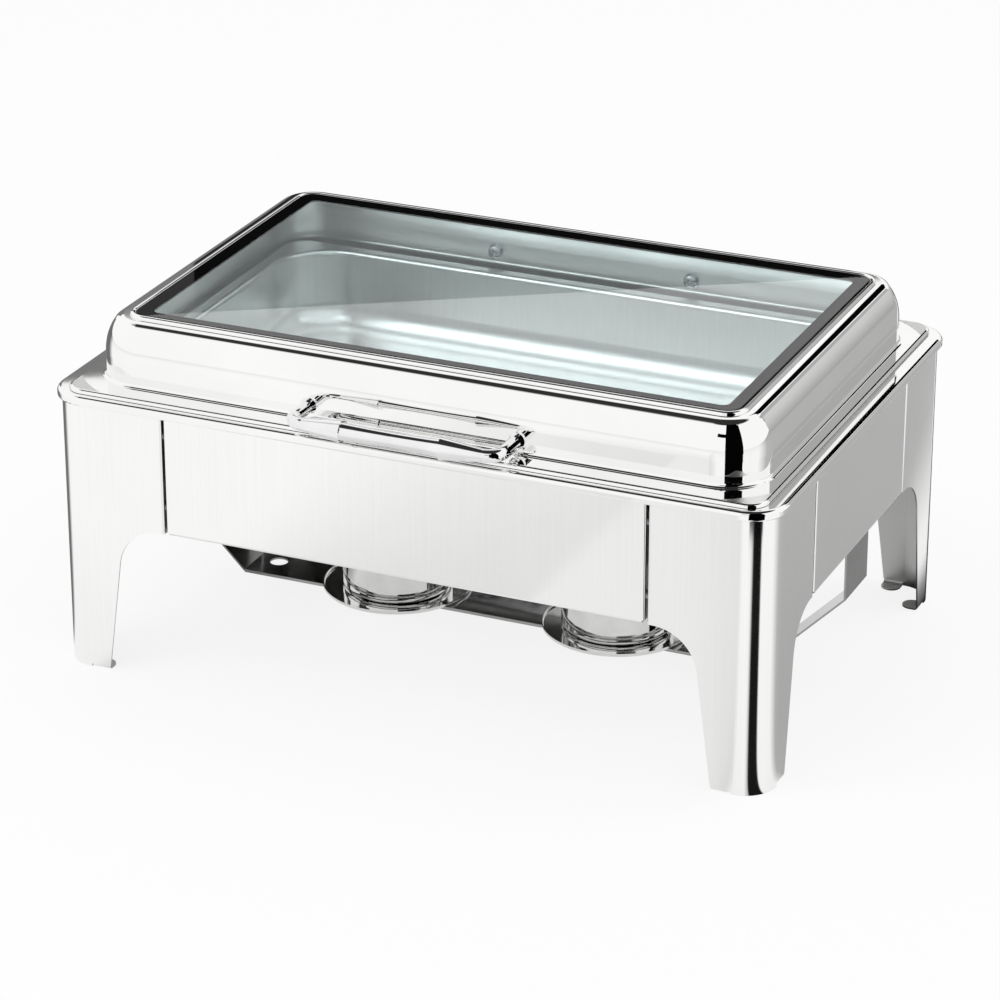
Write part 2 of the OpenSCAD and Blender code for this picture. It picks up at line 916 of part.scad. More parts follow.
// Screws that show inside the lid's rear wall
module leaf_screws() {
    inside = lid_hy - lid_t - washer_t;
    color("darkgray")
        left_and_right()
            lid_screw([hinge_span / 2, inside, leaf_screw_z], 1, lid_t + washer_t + leaf_thread);
}

module leaf_washers() {
    color("gray")
        left_and_right()
            lid_washer([hinge_span / 2, lid_hy - lid_t - washer_t, leaf_screw_z]);
}

// Ear of the bracket in the plane of the frame's depth and height
module ear_outline() {
    block([axis_y - ear_r, bracket_top - hinge_t], [axis_y + ear_r, axis_z]);
    translate([axis_y, axis_z])
        intersection() {
            circle(ear_r);
            block([-2 * ear_r, 0], [2 * ear_r, 2 * ear_r]);
        }
}

// Bracket on the rear panel: plate, shelf under the rim, two ears and the web that stops the heel
module hinge_bracket() {
    web_top = axis_z - heel_half - heel_room;
    color("lightgray")
        difference() {
            union() {
                translate([-bracket_w / 2, hy, bracket_top - bracket_h])
                    cube([bracket_w, hinge_t, bracket_h]);
                translate([-ear_in - ear_t, hy, bracket_top - hinge_t])
                    cube([2 * (ear_in + ear_t), axis_y + ear_r - hy, hinge_t]);
                left_and_right()
                    translate([ear_in, 0, 0])
                        rotate([90, 0, 90])
                            linear_extrude(ear_t)
                                ear_outline();
                translate([-ear_in, axis_y + ear_r - hinge_t, bracket_top - hinge_t])
                    cube([2 * ear_in, hinge_t, web_top - bracket_top + hinge_t]);
            }
            rod_x([-ear_in - ear_t - over, axis_y, axis_z], pin_r + run_play, 2 * (ear_in + ear_t + over));
            translate([-hinge_span / 2, 0, 0])
                bracket_bolts(bolt_r + hole_play);
        }
}

module hinge_bracket_left() {
    translate([-hinge_span / 2, 0, 0])
        hinge_bracket();
}

module hinge_bracket_right() {
    translate([hinge_span / 2, 0, 0])
        hinge_bracket();
}

// Riveted pins through ears and barrels
module hinge_pins() {
    end = ear_in + ear_t;
    color("darkgray")
        left_and_right()
            translate([hinge_span / 2, axis_y, axis_z]) {
                rod_x([-end, 0, 0], pin_r, 2 * end);
                rod_x([end, 0, 0], pin_head_r, pin_head_h);
                rod_x([-end - pin_head_h, 0, 0], pin_head_r, pin_head_h);
            }
}

// Shanks of the bracket's bolts, also used for their holes
module bracket_bolts(r) {
    depth = hinge_t + frame_t;
    left_and_right()
        for (side = [-1, 1])
            rod_y([hinge_span / 2 + side * bracket_bolt_x, hy - frame_t - nut_h - over, bracket_bolt_z],
                  r, depth + nut_h + over);
}

module bracket_screws() {
    color("darkgray") {
        bracket_bolts(bolt_r);
        left_and_right()
            for (side = [-1, 1])
                rod_y([hinge_span / 2 + side * bracket_bolt_x, hy + hinge_t, bracket_bolt_z],
                      bolt_head_r, bolt_head_h);
    }
}

module bracket_nuts() {
    color("darkgray")
        left_and_right()
            for (side = [-1, 1])
                translate([hinge_span / 2 + side * bracket_bolt_x, hy - frame_t, bracket_bolt_z])
                    rotate([90, 0, 0])
                        hex_nut();
}

// Burners

// Half of the bar seen from the front: flat, slant at half a right angle and upright end
module bar_half() {
    corner = bar_t * tan(45 / 2);
    polygon([
        [0, 0],
        [bar_flat, 0],
        [bar_flat + bar_rise, bar_rise],
        [bar_flat + bar_rise, bar_rise + bar_end_h],
        [bar_end_x, bar_rise + bar_end_h],
        [bar_end_x, bar_rise - corner],
        [bar_flat + corner, -bar_t],
        [0, -bar_t]
    ]);
}

// Bar under the pans that carries both burners and hangs from the end panels
module burner_bar() {
    color("gray")
        difference() {
            union() {
                left_and_right()
                    translate([0, bar_w / 2, bar_z])
                        rotate([90, 0, 0])
                            linear_extrude(bar_w)
                                bar_half();
                for (side = [-1, 1])
                    translate([-bar_flat, side * (bar_w - bar_t) / 2 - bar_t / 2, bar_z - bar_lip])
                        cube([2 * bar_flat, bar_t, bar_lip]);
            }
            left_and_right() {
                translate([bar_flat - bar_hole_in, 0, bar_z - bar_t - over])
                    cylinder(r = bar_hole_r, h = bar_t + 2 * over);
                translate([burner_span / 2, 0, bar_z - bar_t - over])
                    cylinder(r = rivet_r + hole_play, h = bar_t + 2 * over);
                for (side = [-1, 1])
                    rod_x([bar_end_x - bar_t - over, side * bar_w / 4, bar_stud_z],
                          bolt_r + hole_play, bar_t + 2 * over);
            }
        }
}

// Studs welded to the inside of the end panels
module bar_studs() {
    l = bar_t + nut_h + over;
    color("darkgray")
        left_and_right()
            for (side = [-1, 1])
                rod_x([bar_end_x - l, side * bar_w / 4, bar_stud_z], bolt_r, l);
}

module bar_nuts() {
    color("darkgray")
        left_and_right()
            for (side = [-1, 1])
                translate([bar_end_x - bar_t, side * bar_w / 4, bar_stud_z])
                    rotate([0, -90, 0])
                        hex_nut();
}

// Flat round tray with a low upturned edge
module burner_tray() {
    color("silver")
        difference() {
            rotate_extrude() {
                block([0, tray_z], [tray_r - tray_bend_r, tray_z + burner_t]);
                translate([tray_r - tray_bend_r, tray_z + tray_bend_r])
                    bend(tray_bend_r - burner_t, burner_t, -90, 0);
                block([tray_r - burner_t, tray_z + tray_bend_r], [tray_r, tray_z + tray_h]);
            }
            translate([0, 0, tray_z - over])
                cylinder(r = rivet_r + hole_play, h = burner_t + 2 * over);
        }
}

module burner_tray_left() {
    translate([-burner_span / 2, 0, 0])
        burner_tray();
}

module burner_tray_right() {
    translate([burner_span / 2, 0, 0])
        burner_tray();
}

// Rivets that hold the trays to the bar, with low heads under the hollow base of each cup
module tray_rivets() {
    color("darkgray")
        left_and_right()
            translate([burner_span / 2, 0, 0]) {
                translate([0, 0, bar_z - bar_t])
                    cylinder(r = rivet_r, h = bar_t + burner_t);
                translate([0, 0, cup_z])
                    cylinder(r = rivet_head_r, h = rivet_head_h);
                translate([0, 0, bar_z - bar_t - rivet_head_h])
                    cylinder(r = rivet_head_r, h = rivet_head_h);
            }
}

// Fuel cup: round wall on a foot ring, with the middle of its base pushed up
module fuel_cup() {
    ring = cup_r - cup_bend_r;
    color("gainsboro")
        translate([0, 0, cup_z])
            rotate_extrude() {
                block([0, cup_base_in], [ring - cup_foot_w, cup_base_in + burner_t]);
                block([ring - cup_foot_w - burner_t, 0], [ring - cup_foot_w, cup_base_in]);
                block([ring - cup_foot_w, 0], [ring, burner_t]);
                translate([ring, cup_bend_r])
                    bend(cup_bend_r - burner_t, burner_t, -90, 0);
                block([cup_r - burner_t, cup_bend_r], [cup_r, cup_h]);
            }
}

module fuel_cup_left() {
    translate([-burner_span / 2, 0, 0])
        fuel_cup();
}

module fuel_cup_right() {
    translate([burner_span / 2, 0, 0])
        fuel_cup();
}

// Cap over a cup: top with a flame opening and a skirt outside the cup
module burner_cap() {
    inner = cup_r + free_gap;
    color("silver")
        difference() {
            rotate_extrude() {
                block([flame_r, cap_z], [inner, cap_z + burner_t]);
                block([inner, cap_z - cap_skirt], [inner + burner_t, cap_z + burner_t]);
            }
            translate([0, damper_pivot, cap_z - over])
                cylinder(r = rivet_r + run_play, h = burner_t + 2 * over);
        }
}

module burner_cap_left() {
    translate([-burner_span / 2, 0, 0])
        burner_cap();
}

module burner_cap_right() {
    translate([burner_span / 2, 0, 0])
        burner_cap();
}

// Swivelling damper: disc over the flame opening, arm to its pivot and a finger tab at the front
module damper() {
    arm = damper_arm;
    tab_y = -cup_r - damper_tab;
    color("lightgray")
        translate([0, 0, damper_z])
            difference() {
                union() {
                    cylinder(r = damper_r, h = burner_t);
                    translate([-arm, 0, 0])
                        cube([2 * arm, damper_pivot, burner_t]);
                    translate([0, damper_pivot, 0])
                        cylinder(r = arm, h = burner_t);
                    translate([-arm, tab_y, 0])
                        cube([2 * arm, -tab_y, burner_t]);
                    translate([-arm, tab_y, 0])
                        cube([2 * arm, burner_t, damper_lift]);
                }
                translate([0, damper_pivot, -over])
                    cylinder(r = rivet_r + run_play, h = burner_t + 2 * over);
            }
}

module damper_left() {
    translate([-burner_span / 2, 0, 0])
        damper();
}

module damper_right() {
    translate([burner_span / 2, 0, 0])
        damper();
}

// Rivets on which the dampers turn
module damper_rivets() {
    top = damper_z + burner_t + 2 * run_play;
    color("darkgray")
        left_and_right()
            translate([burner_span / 2, damper_pivot, 0]) {
                translate([0, 0, cap_z])
                    cylinder(r = rivet_r, h = top - cap_z);
                translate([0, 0, top])
                    cylinder(r = rivet_head_r, h = rivet_head_h);
                translate([0, 0, cap_z - rivet_head_h])
                    cylinder(r = rivet_head_r, h = rivet_head_h);
            }
}

leg_front_left();
leg_front_right();
leg_rear_left();
leg_rear_right();
front_panel();
rear_panel();
left_panel();
right_panel();
seam_bolts();
seam_nuts();
seam_spacers();
water_pan();
food_pan();
lid_shell();
window_seal();
lid_glass();
lid_handle();
handle_screws();
handle_washers();
hinge_leaf_left();
hinge_leaf_right();
leaf_screws();
leaf_washers();
hinge_bracket_left();
hinge_bracket_right();
hinge_pins();
bracket_screws();
bracket_nuts();
burner_bar();
bar_studs();
bar_nuts();
burner_tray_left();
burner_tray_right();
tray_rivets();
fuel_cup_left();
fuel_cup_right();
burner_cap_left();
burner_cap_right();
damper_left();
damper_right();
damper_rivets();
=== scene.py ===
"""Looks of the chafing dish: finishes, crowns of the lid's screws, studio and camera.

Metres, +Z up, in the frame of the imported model. The side with the handle faces -Y.
"""
import json
import math

import bpy
import numpy as np
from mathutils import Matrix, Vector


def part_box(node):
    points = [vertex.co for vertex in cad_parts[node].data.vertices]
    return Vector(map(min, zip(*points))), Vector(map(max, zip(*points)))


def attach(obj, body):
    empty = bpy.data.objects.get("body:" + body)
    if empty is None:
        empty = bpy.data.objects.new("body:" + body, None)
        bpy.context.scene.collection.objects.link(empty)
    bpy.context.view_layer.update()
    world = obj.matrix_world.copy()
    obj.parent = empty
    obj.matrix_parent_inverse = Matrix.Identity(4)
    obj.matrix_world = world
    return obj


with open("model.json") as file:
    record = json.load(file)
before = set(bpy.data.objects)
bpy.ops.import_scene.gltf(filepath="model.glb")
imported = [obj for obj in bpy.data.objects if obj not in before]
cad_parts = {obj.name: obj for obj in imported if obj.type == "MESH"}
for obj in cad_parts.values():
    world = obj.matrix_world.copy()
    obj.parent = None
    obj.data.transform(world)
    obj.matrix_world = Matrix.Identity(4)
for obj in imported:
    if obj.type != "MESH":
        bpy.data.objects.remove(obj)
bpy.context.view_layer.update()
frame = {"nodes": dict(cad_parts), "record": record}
MM = 0.001


# Colours and nodes

# Places of the Mix node's sockets, because their names repeat
NUMBER_A, NUMBER_B, COLOUR_A, COLOUR_B = 2, 3, 6, 7
MIXED_NUMBER, MIXED_COLOUR = 0, 2
WHITE = (1, 1, 1, 1)


def linear(code):
    """Linear RGBA of an sRGB hex colour."""
    parts = np.array([int(code[i:i + 2], 16) for i in (1, 3, 5)]) / 255
    bent = np.where(parts > 0.04045, ((parts + 0.055) / 1.055) ** 2.4, parts / 12.92)
    return (*bent.tolist(), 1.0)


def add(tree, kind, inputs=(), stops=(), **settings):
    """Adds a node: settings are its properties, inputs its sockets, each set to a value or linked.

    On a colour ramp, stops are two or more positions, each with a grey level or a colour.
    """
    node = tree.nodes.new("ShaderNode" + kind)
    for name, value in settings.items():
        setattr(node, name, value)
    for name, value in dict(inputs).items():
        if isinstance(value, bpy.types.NodeSocket):
            tree.links.new(value, node.inputs[name])
        else:
            node.inputs[name].default_value = value
    if stops:
        elements = node.color_ramp.elements
        while len(elements) < len(stops):
            elements.new(1.0)
        for element, (place, tone) in zip(elements, stops):
            element.position = place
            element.color = linear(tone) if isinstance(tone, str) else (tone, tone, tone, 1.0)
    return node


def new_material(name):
    """Material without nodes, and its empty tree."""
    material = bpy.data.materials.new(name)
    material.use_nodes = True
    material.node_tree.nodes.clear()
    return material, material.node_tree


# Finishes

INWARDS = 0.34        # cosine of 70 degrees
STREAK_SHARE = 0.6    # how much of a lined metal's tone comes from its lines
SATIN = (0.3, 0.38)   # roughness of sheet as it left the press
PEBBLE_MM = 0.9
PEBBLE_DEPTH_MM = 0.03
SMEAR_MM = 70


def faces_inwards(tree, hollow):
    """One on faces that look into a shell or across its sheet, zero on its outside.

    The way out is the step from the nearest point of the box hollow. A face whose normal is more
    than 70 degrees off it looks inwards or across.
    """
    spot = add(tree, "TexCoord").outputs
    low = add(tree, "VectorMath", {0: spot["Object"], 1: hollow[0]}, operation="MAXIMUM")
    near = add(tree, "VectorMath", {0: low.outputs[0], 1: hollow[1]}, operation="MINIMUM")
    out = add(tree, "VectorMath", {0: spot["Object"], 1: near.outputs[0]}, operation="SUBTRACT")
    out = add(tree, "VectorMath", {0: out.outputs[0]}, operation="NORMALIZE")
    along = add(tree, "VectorMath", {0: out.outputs[0], 1: spot["Normal"]},
                operation="DOT_PRODUCT").outputs["Value"]
    return add(tree, "Math", {0: along, 1: INWARDS}, operation="LESS_THAN").outputs[0]


def metal(name, light, dark, rough, cloud_mm, stretch=(1, 1, 1), line_mm=None, line_depth_mm=0.0,
          hollow=None, inside=None):
    """Metal with cloudy polish: tone and roughness wander between two values over cloud_mm.

    With line_mm it also carries fine lines of that spacing, drawn out along the axis where stretch
    is small, which show in its tone and in its relief.
    With hollow, the two corners of the box that a shell goes round, its inner faces stay satin, in
    the colour inside, which on the frame is a darker grey of painted shade.
    """
    material, tree = new_material(name)
    where = add(tree, "TexCoord").outputs["Object"]
    cloud = add(tree, "TexNoise", {"Vector": where, "Scale": 1 / (cloud_mm * MM), "Detail": 4.0,
                                   "Roughness": 0.55})
    level = add(tree, "MapRange", {"Value": cloud.outputs["Fac"], "From Min": 0.35,
                                   "From Max": 0.65}).outputs["Result"]
    shade = level
    if line_mm:
        drawn = add(tree, "Mapping", {"Vector": where, "Scale": stretch})
        lines = add(tree, "TexNoise", {"Vector": drawn.outputs["Vector"],
                                       "Scale": 1 / (line_mm * MM), "Detail": 2.0}).outputs["Fac"]
        streak = add(tree, "MapRange", {"Value": lines, "From Min": 0.3, "From Max": 0.7})
        shade = add(tree, "Mix", {"Factor": STREAK_SHARE, NUMBER_A: level,
                                  NUMBER_B: streak.outputs["Result"]}).outputs[MIXED_NUMBER]
    tone = add(tree, "ValToRGB", {"Fac": shade}, stops=[(0.0, dark), (1.0, light)])
    haze = add(tree, "MapRange", {"Value": level, "To Min": rough[0], "To Max": rough[1]})
    inputs = {"Base Color": tone.outputs["Color"], "Metallic": 1.0,
              "Roughness": haze.outputs["Result"]}
    if hollow:
        inner = faces_inwards(tree, hollow)
        satin = add(tree, "MapRange", {"Value": level, "To Min": SATIN[0], "To Max": SATIN[1]})
        inputs["Roughness"] = add(tree, "MapRange", {
            "Value": inner, "To Min": haze.outputs["Result"],
            "To Max": satin.outputs["Result"]}).outputs["Result"]
        inputs["Base Color"] = add(tree, "Mix", {
            "Factor": inner, COLOUR_A: tone.outputs["Color"],
            COLOUR_B: linear(inside)}, data_type="RGBA").outputs[MIXED_COLOUR]
    if line_mm:
        inputs["Normal"] = add(tree, "Bump", {
            "Height": lines, "Strength": 1.0,
            "Distance": line_depth_mm * MM}).outputs["Normal"]
    shader = add(tree, "BsdfPrincipled", inputs)
    add(tree, "OutputMaterial", {"Surface": shader.outputs["BSDF"]})
    return material


def black_silicone():
    """Moulded black silicone: deep black, matt, with a fine pebble that keeps its shine soft."""
    material, tree = new_material("moulded black silicone")
    where = add(tree, "TexCoord").outputs["Object"]
    pebble = add(tree, "TexNoise", {"Vector": where, "Scale": 1 / (PEBBLE_MM * MM),
                                    "Detail": 2.0}).outputs["Fac"]
    tone = add(tree, "ValToRGB", {"Fac": pebble}, stops=[(0.3, "#0D0D0F"), (0.7, "#17171A")])
    rough = add(tree, "MapRange", {"Value": pebble, "To Min": 0.5, "To Max": 0.7})
    bump = add(tree, "Bump", {"Height": pebble, "Strength": 0.6,
                              "Distance": PEBBLE_DEPTH_MM * MM})
    shader = add(tree, "BsdfPrincipled", {
        "Base Color": tone.outputs["Color"], "Roughness": rough.outputs["Result"],
        "Normal": bump.outputs["Normal"]})
    add(tree, "OutputMaterial", {"Surface": shader.outputs["BSDF"]})
    return material


def clear_glass():
    """Toughened float glass: clear with a faint green-blue body, its shine smeared a little."""
    material, tree = new_material("toughened float glass")
    where = add(tree, "TexCoord").outputs["Object"]
    smear = add(tree, "TexNoise", {"Vector": where, "Scale": 1 / (SMEAR_MM * MM), "Detail": 3.0})
    rough = add(tree, "MapRange", {"Value": smear.outputs["Fac"], "From Min": 0.45,
                                   "From Max": 0.75, "To Min": 0.0, "To Max": 0.02})
    shader = add(tree, "BsdfPrincipled", {
        "Base Color": linear("#EFF8F8"), "Transmission Weight": 1.0, "IOR": 1.5,
        "Roughness": rough.outputs["Result"]})
    add(tree, "OutputMaterial", {"Surface": shader.outputs["BSDF"]})
    return material


# Lines and pebbles are drawn coarser than the real finishes leave them, so that they show
FINISH = {
    # Mirror-polished stainless sheet: clear reflections with a trace of buffing haze
    "polished_sheet": metal("mirror-polished stainless sheet", "#FAFAF9", "#F6F6F5",
                            rough=(0.02, 0.045), cloud_mm=90),
    # Drawn stainless pan, bright annealed: soft reflections, streaked a little by the draw
    "pan_steel": metal("bright drawn stainless", "#F2F2F1", "#E8E9E8",
                       rough=(0.28, 0.36), cloud_mm=40,
                       stretch=(1, 1, 0.08), line_mm=2.5, line_depth_mm=0.0012),
    # Polished burner steel: mirror with rubbed haze
    "burner_steel": metal("polished burner stainless", "#ECECEB", "#E0E0DF",
                          rough=(0.05, 0.1), cloud_mm=25),
    # Bright-rolled strip: a mirror with faint rolling lines along its length; its grey tone is
    # painted shade from the water pan above it
    "bar_steel": metal("bright-rolled stainless strip", "#ACACAB", "#9C9C9B",
                       rough=(0.05, 0.1), cloud_mm=18,
                       stretch=(0.04, 1, 1), line_mm=0.8, line_depth_mm=0.0015),
    # Brushed hinge plate: short brush lines along X
    "hinge_steel": metal("brushed stainless plate", "#D8D8D7", "#C6C6C5",
                         rough=(0.2, 0.3), cloud_mm=12,
                         stretch=(0.05, 1, 1), line_mm=0.5, line_depth_mm=0.012),
    # Chrome plate on a polished casting: a bright, neutral mirror
    "handle_chrome": metal("chrome-plated casting", "#F6F6F6", "#EEEEEF",
                           rough=(0.02, 0.05), cloud_mm=30),
    # Zinc plate: cool grey, satin, with small crystals of tone
    "fastener_steel": metal("bright zinc plate", "#D5D7DA", "#C9CBCF",
                            rough=(0.16, 0.24), cloud_mm=9),
    "black_seal": black_silicone(),
    "clear_glass": clear_glass(),
}
# The lid's sheet: polished outside only, satin inside as it left the press
LID_SHEET = metal("stainless lid, polished outside", "#FAFAF9", "#F6F6F5",
                  rough=(0.02, 0.045), cloud_mm=90,
                  hollow=((-0.21, -0.115, 0.2), (0.21, 0.115, 0.2)), inside="#F4F4F3")
# Legs and panels: buffed upright to a soft mirror outside, with a dull mill finish inside and on
# the flanges behind the seams.
# The darker grey there is painted shade inside the stand and in the seams.
FRAME_SHEET = metal("stainless frame sheet, buffed outside", "#FBFBFA", "#F6F6F5",
                    rough=(0.08, 0.12), cloud_mm=90,
                    stretch=(1, 1, 0.012), line_mm=1.6, line_depth_mm=0.0016,
                    hollow=((-0.26, -0.166, -1.0), (0.26, 0.166, 1.0)), inside="#B8B8B7")


def finish_of(part):
    """Finish of a CAD piece: its slot's, apart from shells that differ inside and outside."""
    node = part["node"]
    if node == "lid_shell":
        return LID_SHEET
    if node.startswith("leg_") or node.endswith("_panel"):
        return FRAME_SHEET
    return FINISH[part["material_slot"]]


for part in frame["record"]["subparts"]:
    mesh = frame["nodes"][part["node"]].data
    mesh.materials.clear()
    mesh.materials.append(finish_of(part))


# Surfaces

def grid_quads(index):
    """One quad between neighbours in a grid of point numbers."""
    corners = [index[:-1, :-1], index[:-1, 1:], index[1:, 1:], index[1:, :-1]]
    return np.stack(corners, axis=-1).reshape(-1, 4).tolist()


def mesh_object(name, points, faces, material):
    """Object at the origin, with a mesh of a grid of points, rows by columns by three."""
    mesh = bpy.data.meshes.new(name)
    mesh.from_pydata(points.reshape(-1, 3).tolist(), [], faces)
    mesh.materials.append(material)
    thing = bpy.data.objects.new(name, mesh)
    bpy.context.scene.collection.objects.link(thing)
    return thing


# Screw heads, with every size as a share of the head's radius

CROWN_RINGS, CROWN_SIDES = 26, 96
CROWN_HUB, CROWN_SKIRT = 0.04, 1.02
CROWN_RISE, CROWN_EDGE, SKIRT_DROP = 0.3, 0.04, 0.12
RECESS_HALF_WIDTH, RECESS_SIDE = 0.17, 0.08
RECESS_HALF_LENGTH, RECESS_END = 0.6, 0.2
RECESS_DEPTH = 0.26


def recess_bar(side, end):
    """One on the floor of a bar-shaped recess, falling evenly to zero over its sides and ends."""
    return (np.clip((RECESS_HALF_WIDTH - np.abs(side)) / RECESS_SIDE, 0, 1)
            * np.clip((RECESS_HALF_LENGTH - np.abs(end)) / RECESS_END, 0, 1))


def cross_crown(name, middle, radius, way):
    """Domed head with a cross recess, set over a flat head: distance from the axis by angle.

    Its axis lies along Y, and way is the sign of Y on its outside. The crown is a paraboloid. Two
    crossed bars with slanted ends and sides are sunk into it, and below its edge a short skirt
    goes round the flat head. A flat face closes it at the hub and one at the foot of the skirt.
    """
    share = np.concatenate([np.linspace(CROWN_HUB, 1.0, CROWN_RINGS), [CROWN_SKIRT] * 2])[:, None]
    angle = np.linspace(0.0, math.tau, CROWN_SIDES, endpoint=False)[None, :]
    across, along = share * np.cos(angle), share * np.sin(angle)
    recess = np.maximum(recess_bar(across, along), recess_bar(along, across))
    height = radius * (CROWN_RISE * (1 - share ** 2) + CROWN_EDGE - RECESS_DEPTH * recess)
    height[-2:] = [[0.0], [-SKIRT_DROP * radius]]
    points = np.stack(np.broadcast_arrays(
        middle[0] - way * radius * across, middle[1] + way * height,
        middle[2] + radius * along), -1)
    index = np.arange(share.size * CROWN_SIDES).reshape(share.size, CROWN_SIDES)
    ends = [index[0].tolist(), index[-1, ::-1].tolist()]
    faces = grid_quads(np.hstack([index, index[:, :1]]).T) + ends
    thing = mesh_object(name, points, faces, FINISH["fastener_steel"])
    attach(thing, "lid")
    return thing


for node, way in (("leaf_screws", -1), ("handle_screws", 1)):
    low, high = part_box(node)
    head = (high[2] - low[2]) / 2
    outside = low[1] if way < 0 else high[1]
    for label, x in (("left", low[0] + head), ("right", high[0] - head)):
        cross_crown(f"{node}_crown_{label}", (x, outside, (low[2] + high[2]) / 2), head, way)


# Studio

LEG_CORNER = (0.269, -0.175)
LID_CORNER = (0.236, -0.1405)
MIDDLE = (0.0, 0.0)
REAR = 2.5
FLOOR_REACH = 14.0
BLACK = (0.001, 0.001)
FLAG_COLUMNS = 25
PAPER_GLOW, MIRRORED_GLOW = 0.84, 0.62   # share of the floor's look that is its own light
ROOM_LIGHT = 0.8
# Painted reflections: tones that only mirrors see on the floor, by the angle round a front leg's
# corner, in degrees from straight ahead towards the leg's outside. They draw the dark stripes on
# the steel.
RIGHT_PAINTED_REFLECTIONS = (
    (20, 1.0), (27, 0.55), (29, 0.01), (54, 0.01), (57, 1.0), (100, 1.0), (128, 0.5), (169, 0.46),
    (171, 1.0), (173, 1.0), (175, 0.02), (181, 0.02), (183, 1.0), (300, 0.94), (335, 0.9),
    (345, 0.8), (355, 1.0))
LEFT_PAINTED_REFLECTIONS = (
    (20, 1.0), (88, 1.0), (97, 0.55), (104, 0.18), (125, 0.16), (150, 0.3), (172, 0.5), (200, 0.5),
    (215, 1.0), (300, 0.82), (331, 0.82), (345, 0.88), (358, 0.98))
# Painted reflections of the room, seen only by mirrors: tones by the height of the way they look
ROOM_PAINTED_REFLECTIONS = ((0.8, 1.0), (0.86, 0.03))


def seen(tree):
    """One for rays from the camera, a mirror or glass, zero for the light that falls on things."""
    path = add(tree, "LightPath").outputs
    first = add(tree, "Math", {0: path["Is Camera Ray"], 1: path["Is Glossy Ray"]},
                operation="MAXIMUM")
    return add(tree, "Math", {0: first.outputs[0], 1: path["Is Transmission Ray"]},
               operation="MAXIMUM").outputs[0]


def mirrored(tree):
    """One for rays that a mirror sends out, and zero for those of the camera and the glass."""
    path = add(tree, "LightPath").outputs
    return add(tree, "Math", {0: path["Is Glossy Ray"], 1: path["Is Transmission Ray"]},
               operation="SUBTRACT", use_clamp=True).outputs[0]


def white_or_mirrored(tree, tone):
    """White for all rays but those of mirrors, which see the tone."""
    return add(tree, "Mix", {"Factor": mirrored(tree), COLOUR_A: WHITE, COLOUR_B: tone},
               data_type="RGBA").outputs[MIXED_COLOUR]


def floor_material():
    """White studio paper. Mirrors alone see dark and grey wedges painted on it round the front
    legs, painted reflections that draw stripes on the steel.
    """
    material, tree = new_material("white studio paper")
    where = add(tree, "TexCoord").outputs["Object"]
    axes = add(tree, "SeparateXYZ", {"Vector": where}).outputs
    out = add(tree, "Math", {0: axes["X"]}, operation="ABSOLUTE")
    out = add(tree, "Math", {0: out.outputs[0], 1: LEG_CORNER[0]}, operation="SUBTRACT")
    ahead = add(tree, "Math", {0: LEG_CORNER[1], 1: axes["Y"]}, operation="SUBTRACT")
    angle = add(tree, "Math", {0: out.outputs[0], 1: ahead.outputs[0]}, operation="ARCTAN2")
    angle = add(tree, "Math", {0: angle.outputs[0], 1: math.tau, 2: 0.0}, operation="WRAP")
    share = add(tree, "MapRange", {"Value": angle.outputs[0], "From Min": 0.0,
                                   "From Max": math.tau}).outputs["Result"]
    right, left = (
        add(tree, "ValToRGB", {"Fac": share},
            stops=[(degrees / 360, tone) for degrees, tone in tones]).outputs["Color"]
        for tones in (RIGHT_PAINTED_REFLECTIONS, LEFT_PAINTED_REFLECTIONS))
    side = add(tree, "Math", {0: axes["X"], 1: 0.0}, operation="GREATER_THAN")
    both = add(tree, "Mix", {"Factor": side.outputs[0], COLOUR_A: left, COLOUR_B: right},
               data_type="RGBA").outputs[MIXED_COLOUR]
    tone = white_or_mirrored(tree, both)
    glow = add(tree, "Emission", {"Color": tone, "Strength": 1.0})
    paper = add(tree, "Mix", {"Factor": 1.0, COLOUR_A: tone, COLOUR_B: linear("#F4F4F4")},
                data_type="RGBA", blend_type="MULTIPLY")
    paper = add(tree, "BsdfDiffuse", {"Color": paper.outputs[MIXED_COLOUR]})
    held = add(tree, "Math", {0: seen(tree), 1: PAPER_GLOW}, operation="MULTIPLY")
    held = add(tree, "MapRange", {"Value": mirrored(tree), "To Min": held.outputs[0],
                                  "To Max": MIRRORED_GLOW})
    shader = add(tree, "MixShader", {0: held.outputs[0], 1: paper.outputs[0], 2: glow.outputs[0]})
    add(tree, "OutputMaterial", {"Surface": shader.outputs[0]})
    return material


def surface(name, points, material):
    """Open sheet through a grid of points, with one quad between neighbours."""
    rows, columns = points.shape[:2]
    index = np.arange(rows * columns).reshape(rows, columns)
    return mesh_object(name, points, grid_quads(index), material)


def flag(name, points, tones, heights):
    """Studio flag of glowing cloth, in one tone at its foot and another at its top.

    Only mirrors see it, so that it takes no light from the object: it is a painted reflection that
    draws dark and grey stripes on the steel.
    """
    material, tree = new_material(name)
    where = add(tree, "TexCoord").outputs["Object"]
    level = add(tree, "SeparateXYZ", {"Vector": where}).outputs["Z"]
    level = add(tree, "MapRange", {"Value": level, "From Min": heights[0],
                                   "From Max": heights[1]})
    tone = add(tree, "ValToRGB", {"Fac": level.outputs["Result"]},
               stops=[(0.0, tones[0]), (1.0, tones[1])])
    glow = add(tree, "Emission", {"Color": tone.outputs["Color"], "Strength": 1.0})
    add(tree, "OutputMaterial", {"Surface": glow.outputs[0]})
    cloth = surface(name, points, material)
    for kind in ("camera", "diffuse", "transmission", "shadow", "volume_scatter"):
        setattr(cloth, "visible_" + kind, False)
    return cloth


